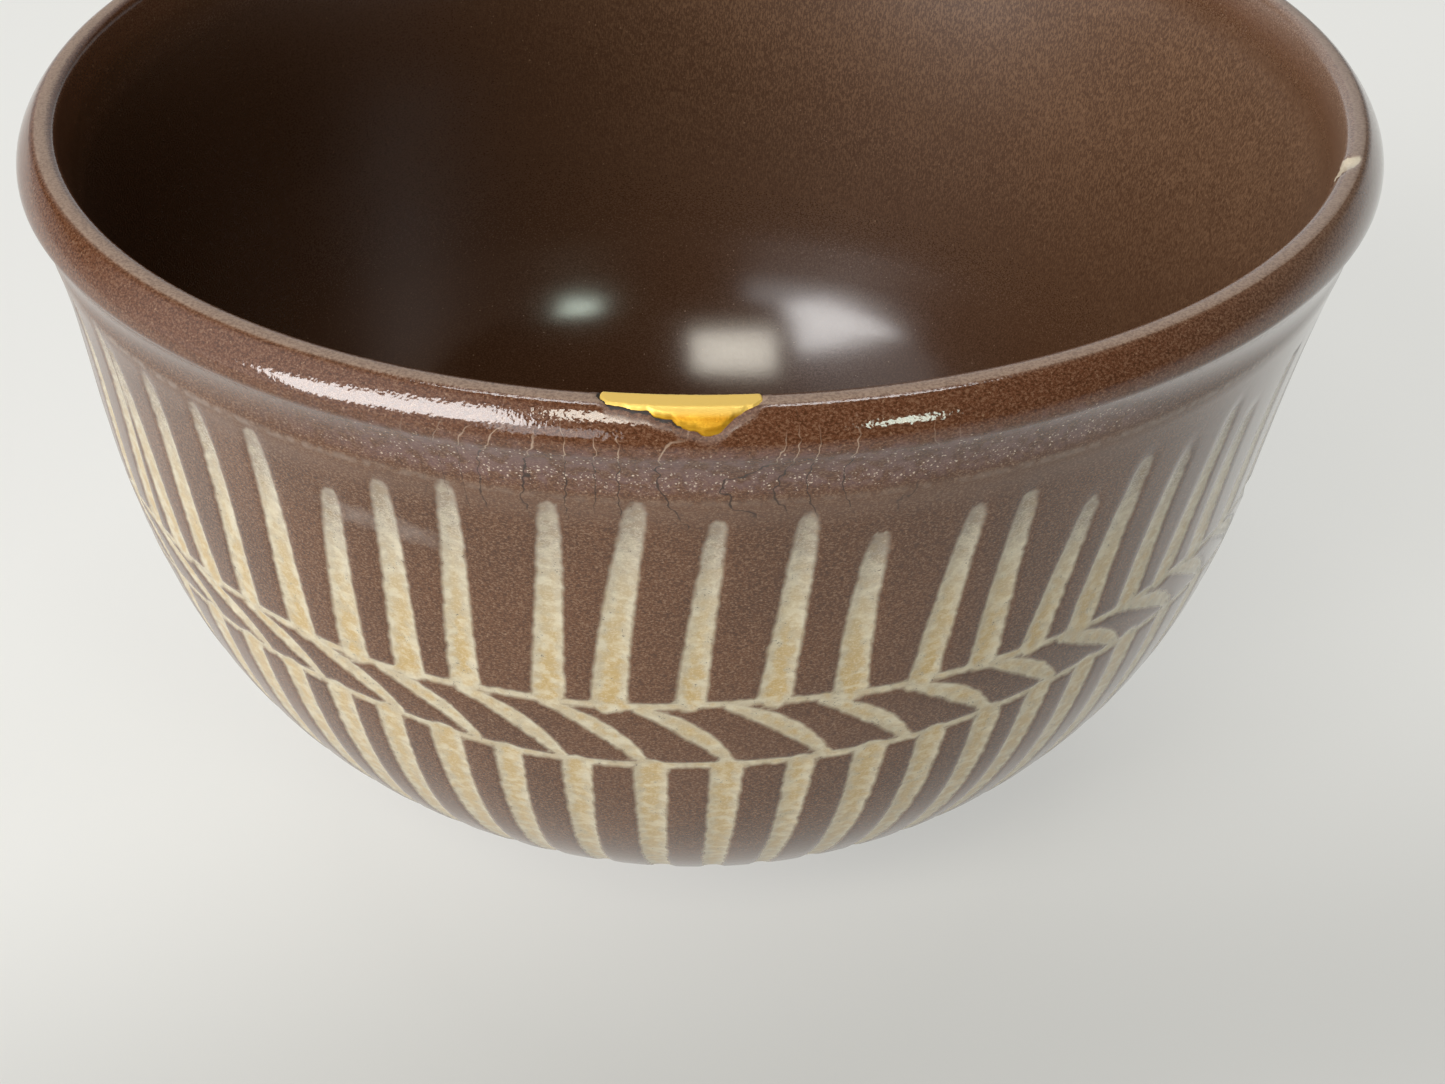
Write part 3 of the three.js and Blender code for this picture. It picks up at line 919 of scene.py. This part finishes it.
def glazed_slip():
    """Brown slip under a clear glaze, cream clay where it was carved away, raw clay in the bare chip."""
    material, n, shader, place = new_material("glazed_slip")
    x, y, z = n.split(place)
    drop = n.math("SUBTRACT", BOWL_HEIGHT / MM, z)
    inside = n.attribute("inside")
    outside = n.math("SUBTRACT", 1.0, inside)
    carve = n.attribute("carve")
    share = n.attribute("stroke_share")
    chip = n.attribute("chip")
    nick = n.attribute("nick")
    crest = n.attribute("crest")
    grain = n.noise(n.stretch(place, (1.0, 1.0, 1.6)), scale=3.7, detail=2.0, roughness=0.8)
    lump = n.noise(place, scale=0.85, detail=1.0, roughness=0.6)
    broad = n.noise(place, scale=0.1, detail=0.0)
    chatter = n.noise(n.stretch(place, (0.8, 0.8, 1.1)), scale=0.95, detail=2.0, roughness=0.5)

    # Brown slip: cloudy, with fine paler and darker grains, darker inside and with painted shade deepening
    # toward the inside's left, redder on the rim's roll
    slip = n.blend(n.ramp(broad, 0.3, 0.7), SLIP_DEEP, SLIP_LIGHT)
    turn = n.math("MULTIPLY_ADD", y, 0.5, x)
    # Painted shade: the lining is much darker toward the left of the inside, where that wall lies in shadow
    shaded_lining = n.blend(n.ramp(turn, *LINING_SHADE_TURN), LINING_SHADED_LEFT, LINING_RIGHT)
    slip = n.blend(inside, slip, shaded_lining)
    slip = n.blend(n.ramp(drop, *ROLL_RED_DROP), slip, ROLL_RED)
    slip = n.blend(n.ramp(grain, 0.38, 0.5, 0.7, 0.0), slip, DARK_GRAIN)
    pale = n.math("MULTIPLY_ADD", outside, n.ramp(drop, *PALE_GRAIN_DROP, 0.3, 0.5), 0.1)
    slip = n.blend(n.times(n.ramp(grain, 0.51, 0.63), pale), slip, PALE_GRAIN)

    # Inside: short pale fibres in the glaze, thickest towards the rim at the back and the right
    hair = n.noise(n.stretch(place, (2.4, 2.4, 0.75)), scale=2.1, detail=2.0, roughness=0.75)
    thick = n.times(n.ramp(turn, *FIBRE_TURN), n.ramp(drop, *FIBRE_DROP, 0.12, 1.0))
    strand = n.ramp(n.math("MULTIPLY_ADD", broad, 0.05, hair), 0.46, 0.65, 0.15, 0.95)
    slip = n.blend(n.times(thick, strand, inside), slip, FIBRE)

    # Cove under the rim: thick glaze with a violet cast that is partly a painted reflection of the floor, and
    # dense bright grains that are partly painted glints
    from_top = n.ramp(n.math("MULTIPLY_ADD", lump, 2.0, drop), *COVE_TOP_DROP)
    sideways = n.math("ABSOLUTE", n.math("SUBTRACT", x, COVE_MIDDLE_X))
    wide = n.ramp(sideways, *COVE_SIDES, 0.12, 1.0)
    cove = n.times(from_top, n.ramp(drop, *COVE_BOTTOM_DROP), wide, outside)
    # Painted reflection: the violet milk stands partly for the floor seen in the down-facing cove, strongest
    # across the front
    slip = n.blend(n.times(cove, n.ramp(lump, 0.35, 0.62, 0.08, 0.45)), slip, COVE_MILK_AND_REFLECTION)
    low = n.times(n.ramp(drop, *SPECK_DROP, 0.35, 1.0), n.ramp(lump, 0.33, 0.6, 0.2, 0.9))
    many = n.math("MULTIPLY_ADD", cove, low, n.math("MULTIPLY_ADD", outside, 0.09, 0.02))
    grains = n.group(SPECKS, vector=place, scale=3.6, share=many, size=0.3)["Mask"]
    grains = n.times(grains, n.ramp(grain, 0.46, 0.54))
    # Painted glints: the tan and white grains in the cove stand partly for sparkle in its reflection
    speck_and_glint = n.blend(n.ramp(grain, 0.45, 0.55), TAN_SPECK_AND_GLINT, WHITE_SPECK_AND_GLINT)
    speck_and_glint = n.blend(cove, DIM_SPECK, speck_and_glint)
    slip = n.blend(n.times(grains, n.math("MULTIPLY_ADD", cove, 0.45, 0.55)), slip, speck_and_glint)

    # Ridge, crest and the roll at the right: thinner slip, greyer and drier, with a painted highlight along
    # the ridge, stronger at the sides
    ridge = n.times(n.ramp(drop, *RIDGE_TOP_DROP), n.ramp(drop, *RIDGE_BOTTOM_DROP))
    slip = n.blend(n.times(ridge, 0.35, outside), slip, RIDGE_GREY)
    right = n.times(n.ramp(x, *DRY_ROLL_X, 0.0, 0.8), n.ramp(drop, *DRY_ROLL_DROP))
    bare = n.times(n.math("MAXIMUM", crest, right), outside)
    slip = n.blend(n.times(bare, n.ramp(grain, 0.38, 0.6, 0.5, 1.0)), slip, DRY_CREST)
    # Painted highlight: a pale line where the ridge catches the light
    ridge_highlight = n.ramp(n.math("ABSOLUTE", n.math("SUBTRACT", drop, RIDGE_DROP / MM)), *RIDGE_HIGHLIGHT_HALF)
    patchy = n.ramp(lump, 0.35, 0.6, 0.05, 0.5)
    stronger = n.ramp(n.math("ABSOLUTE", x), *RIDGE_HIGHLIGHT_SIDES, 0.35, 1.0)
    slip = n.blend(n.times(ridge_highlight, outside, patchy, stronger), slip, RIDGE_HIGHLIGHT)

    # A pale smear between two strokes: the squared distance from its middle, in shares of its size
    aside = n.math("DIVIDE", n.math("SUBTRACT", x, SMEAR_X), SMEAR_LENGTH)
    over = n.math("DIVIDE", n.math("SUBTRACT", drop, SMEAR_DROP), SMEAR_WIDTH)
    over = n.math("SUBTRACT", over, n.times(aside, SMEAR_SLANT))
    spread = n.math("ADD", n.times(aside, aside), n.times(over, over))
    smear = n.ramp(n.math("MULTIPLY_ADD", lump, 2.0, spread), 2.6, 0.4)
    slip = n.blend(n.times(smear, n.ramp(y, *SMEAR_FRONT_Y), outside, 0.3), slip, SMEAR)

    # Cream clay in the strokes: ochre in the middle, greyer at the tips, with plates, fine lines and pits
    depth = n.ramp(n.math("MULTIPLY_ADD", lump, 2.4, carve), 1.05, -0.1)
    cream = n.blend(n.ramp(share, 0.35, 0.95), CREAM_FOOT, CREAM_TIP)
    cream = n.blend(n.times(depth, n.ramp(share, 0.05, 0.8, 1.0, 0.15)), cream, OCHRE)
    cream = n.blend(n.ramp(chatter, 0.44, 0.7, 0.0, 0.6), cream, CREAM_PLATE)
    cream = n.blend(n.ramp(chatter, 0.5, 0.3, 0.0, 0.4), cream, CREAM_STAIN)
    plates = n.math("ABSOLUTE", n.math("SUBTRACT", chatter, 0.47))
    cream = n.blend(n.ramp(plates, 0.012, 0.0, 0.0, 0.4), cream, CREAM_LINE)
    cream = n.blend(n.ramp(grain, 0.5, 0.62, 0.0, 0.3), cream, CREAM_GRAIN)
    worn = n.math("ADD", carve, n.ramp(share, 0.8, 1.0, 0.0, 0.15))
    cut = n.group(RAGGED, distance=worn, fine=grain, coarse=lump, tear=0.45, softness=0.28)["Mask"]
    cut = n.times(cut, n.ramp(share, 0.6, 1.02, 1.0, 0.5))
    colour = n.blend(cut, slip, cream)
    pits = n.times(n.ramp(grain, 0.6, 0.64), n.ramp(lump, 0.58, 0.64))
    colour = n.blend(n.times(pits, outside, n.ramp(carve, 1.2, 0.2), 0.85), colour, PIT)

    # Hairline cracks near the filled chip, from the roll down past the ridge, pale at first and then dark
    wander = n.math("MULTIPLY_ADD", broad, 12.0, n.times(lump, 1.3))
    craze = n.ramp(n.edges(n.math("ADD", wander, x), CRACK_COUNT), *CRACK_WIDTH)
    uneven_drop = n.math("MULTIPLY_ADD", lump, 5.0, drop)
    between = n.times(n.ramp(uneven_drop, *CRACK_BOTTOM_DROP), n.ramp(uneven_drop, *CRACK_TOP_DROP))
    reach = n.times(n.ramp(chip, *CRACK_REACH), between)
    crack = n.blend(n.ramp(drop, *CRACK_DARK_DROP), PALE_CRACK, DARK_CRACK)
    colour = n.blend(n.times(craze, reach, outside, 0.85), colour, crack)

    # Lacquer that shows in places beside the fill, and raw clay in the bare chip
    beside = n.math("SUBTRACT", chip, n.ramp(broad, 0.42, 0.6, -0.35, 0.16))
    lacquer = n.group(RAGGED, distance=beside, fine=grain, coarse=lump, tear=0.4, softness=0.05)["Mask"]
    colour = n.blend(lacquer, colour, LACQUER)
    raw = n.group(RAGGED, distance=nick, fine=grain, coarse=lump, tear=0.3, softness=0.08)["Mask"]
    colour = n.blend(raw, colour, n.blend(grain, RAW_CLAY, PALE_CLAY))
    n.feed(shader.inputs["Base Color"], colour)

    # Gloss: a hard glaze with orange peel, duller over the strokes, the crest and beside the fill, dry in the
    # bare chip, and a second soft sheen on the outside at the right
    rough = n.math("MULTIPLY_ADD", thick, 0.12, n.ramp(drop, *DULL_INSIDE_DROP, 0.08, 0.22))
    dull = n.ramp(drop, *DULL_OUTSIDE_DROP, 0.0, 0.09)
    gloss = n.math("MULTIPLY_ADD", dull, outside, n.times(inside, rough))
    gloss = n.math("ADD", gloss, n.ramp(grain, 0.3, 0.8, 0.04, 0.12))
    gloss = n.math("ADD", gloss, n.math("MULTIPLY_ADD", cut, 0.15, n.times(bare, 0.32)))
    gloss = n.math("ADD", gloss, n.ramp(chip, *DULL_BESIDE_FILL, 0.0, 0.45))
    n.feed(shader.inputs["Roughness"], n.math("MAXIMUM", gloss, n.times(raw, 0.85)))
    shader.inputs["IOR"].default_value = GLAZE_IOR
    n.feed(shader.inputs["Coat Weight"], n.times(outside, n.ramp(x, *SHEEN_X)))
    shader.inputs["Coat Roughness"].default_value = 0.2
    peel = n.times(n.noise(place, scale=2.4, detail=1.0), n.math("MULTIPLY_ADD", outside, 0.85, 0.15))
    surface(n, shader, n.math("MULTIPLY_ADD", n.times(bare, grain), 2.0, peel), PEEL_DEPTH)
    return material


def gold_lacquer():
    """Gold powder on lacquer: bright and nearly smooth, with brush marks, a painted highlight on the crest,
    and dark lacquer at its rubbed edge."""
    material, n, shader, place = new_material("gold_lacquer")
    x, y, z = n.split(place)
    drop = n.math("SUBTRACT", BOWL_HEIGHT / MM, z)
    grain = n.noise(place, scale=3.0, detail=3.0, roughness=0.7)
    brushed = n.noise(n.stretch(place, (0.5, 2.2, 2.2)), scale=1.0, detail=2.0)
    gold = n.blend(n.ramp(brushed, 0.3, 0.7), GOLD_DEEP, GOLD_LIGHT)
    # Painted highlight: the fill is paler on the crest, where its top catches the light
    top = n.ramp(drop, *GOLD_HIGHLIGHT_DROP)
    gold = n.blend(top, gold, GOLD_TOP_HIGHLIGHT)
    edge = n.math("ADD", n.attribute("edge"), 0.05)
    rubbed = n.group(RAGGED, distance=edge, fine=grain, coarse=brushed, tear=0.3, softness=0.05)["Mask"]
    n.feed(shader.inputs["Base Color"], n.blend(rubbed, gold, RUBBED_LACQUER))
    metal = n.math("MULTIPLY_ADD", top, -0.3, 0.6)
    n.feed(shader.inputs["Metallic"], n.times(n.math("SUBTRACT", 1.0, rubbed), metal))
    n.feed(shader.inputs["Roughness"], n.ramp(grain, 0.3, 0.75, 0.34, 0.5))
    surface(n, shader, n.math("MULTIPLY_ADD", brushed, 0.4, grain), GOLD_GRAIN_DEPTH)
    return material


# Studio. A glow has a direction, the cosine at which it starts and its strength.

FLOOR_REACH = 40.0
FLOOR_OWN_LIGHT = 0.57
FLOOR_PALE = (0.88, 0.88, 0.85, 1)
FLOOR_SHADOW_GREY = (0.635, 0.635, 0.61, 1)
WORLD_TINT = (0.97, 0.98, 1, 1)
GLOWS = (
    ((-0.8, -0.3, 0.45), 0.68, 0.85),
    ((-0.1, 0.9, 0.45), 0.75, 0.5),
)


def pale_floor():
    """A plain pale floor with a painted shadow that greys it toward the front right. Most of what the camera
    and the gloss see is its own colour, so the shadow stays soft."""
    material, n, shader, place = new_material("pale_floor")
    x, y, z = n.split(place)
    # Painted shadow: the floor greys toward the front right of the bowl
    toward = n.math("MULTIPLY_ADD", x, 0.22, n.times(y, -0.95))
    colour = n.blend(n.ramp(toward, 0.0, 72.0), FLOOR_PALE, FLOOR_SHADOW_GREY)
    n.feed(shader.inputs["Base Color"], colour)
    shader.inputs["Roughness"].default_value = 0.6
    plain = n.add("ShaderNodeEmission")
    n.feed(plain.inputs["Color"], colour)
    path = n.add("ShaderNodeLightPath")
    seen = n.math("MAXIMUM", path.outputs["Is Camera Ray"], path.outputs["Is Glossy Ray"])
    both = n.add("ShaderNodeMixShader")
    n.feed(both.inputs[0], n.times(seen, FLOOR_OWN_LIGHT))
    n.feed(both.inputs[1], shader.outputs[0])
    n.feed(both.inputs[2], plain.outputs[0])
    n.feed(material.node_tree.nodes["Material Output"].inputs["Surface"], both.outputs[0])
    return material


def floor_sheet():
    """A level square under the foot, from its four corners."""
    corners = np.array([[-1, -1, 0], [1, -1, 0], [1, 1, 0], [-1, 1, 0]]) * FLOOR_REACH
    mesh = bpy.data.meshes.new("floor_sheet")
    mesh.from_pydata(corners.tolist(), [], [(0, 1, 2, 3)])
    floor = bpy.data.objects.new("floor_sheet", mesh)
    bpy.context.scene.collection.objects.link(floor)
    mesh.materials.append(pale_floor())


def soft_light(name, position, size, power, colour=(1, 1, 1), along=(1, 0, 0)):
    """A rectangular area lamp aimed at the bowl, with its length turned as near to a direction as the aim
    allows."""
    lamp = bpy.data.lights.new(name, "AREA")
    lamp.shape = "RECTANGLE"
    lamp.size, lamp.size_y = size
    lamp.energy = power
    lamp.color = colour
    away = (Vector(position) - Vector((0, 0, BOWL_HEIGHT / 2))).normalized()
    length = (Vector(along) - away * away.dot(Vector(along))).normalized()
    turn = Matrix((length, away.cross(length), away)).transposed().to_4x4()
    light = bpy.data.objects.new(name, lamp)
    light.matrix_world = Matrix.Translation(position) @ turn
    bpy.context.scene.collection.objects.link(light)


def studio_glow():
    """A dark world, paler round the horizon, with two soft glows, to the left and behind the bowl, each by
    the angle to its direction."""
    world = bpy.data.worlds.new("studio")
    world.use_nodes = True
    n = Nodes(world.node_tree)
    place = n.add("ShaderNodeTexCoord").outputs["Generated"]
    x, y, z = n.split(place)
    glow = n.ramp(z, 0.24, 0.05, 0.01, 0.35)
    for direction, spread, strength in GLOWS:
        toward = n.add("ShaderNodeVectorMath", operation="DOT_PRODUCT")
        n.feed(toward.inputs[0], place)
        toward.inputs[1].default_value = Vector(direction).normalized()
        glow = n.math("ADD", n.ramp(toward.outputs["Value"], spread, 1.0, 0.0, strength), glow)
    back = world.node_tree.nodes["Background"]
    back.inputs["Color"].default_value = WORLD_TINT
    n.feed(back.inputs["Strength"], glow)
    bpy.context.scene.world = world


def studio():
    """The glow all round, a slanting softbox to the left, a strip overhead, and three panels behind the
    camera that show in the glaze inside."""
    studio_glow()
    soft_light(
        "left_softbox",
        position=(-1.42, -1.17, 1.0),
        size=(1.52, 0.6),
        power=28,
        colour=(1, 0.98, 0.97),
        along=(0.55, -0.35, 0.5),
    )
    soft_light("overhead_strip", position=(0.0, 0.16, 2.2), size=(1.76, 0.26), power=11.5)
    soft_light("warm_panel", (-0.35, -1.38, 1.72), (0.74, 0.35), power=8.7, colour=(1, 0.94, 0.82))
    soft_light("side_panel", (-0.8, -1.79, 1.0), (0.64, 0.51), power=2.4, colour=(0.97, 0.98, 1))
    soft_light("small_panel", (1.01, -1.57, 1.22), (0.35, 0.26), power=3.1, colour=(0.86, 1, 0.86))
    bpy.context.scene.view_settings.view_transform = "Standard"


def photo_camera():
    """The camera that took the photograph, from its place and its axes."""
    right, up, look = camera_axes()
    lens = bpy.data.cameras.new("photo_camera")
    lens.sensor_width = SENSOR_WIDTH
    lens.lens = SENSOR_WIDTH * FOCAL_PIXELS / PHOTO_SIZE[0]
    lens.clip_start = NEAR_CLIP
    camera = bpy.data.objects.new("photo_camera", lens)
    turn = Matrix((right, up, -look)).transposed().to_4x4()
    camera.matrix_world = Matrix.Translation(CAMERA_PLACE) @ turn
    bpy.context.scene.collection.objects.link(camera)
    bpy.context.scene.camera = camera


def dress(piece, material, node):
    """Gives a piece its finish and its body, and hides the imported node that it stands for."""
    piece.data.materials.append(material)
    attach(piece, "root")
    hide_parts(node)


section = Section()
dress(bowl_skin(section), glazed_slip(), "bowl")
dress(gold_skin(section), gold_lacquer(), "gold_rim_fill")
floor_sheet()
studio()
photo_camera()
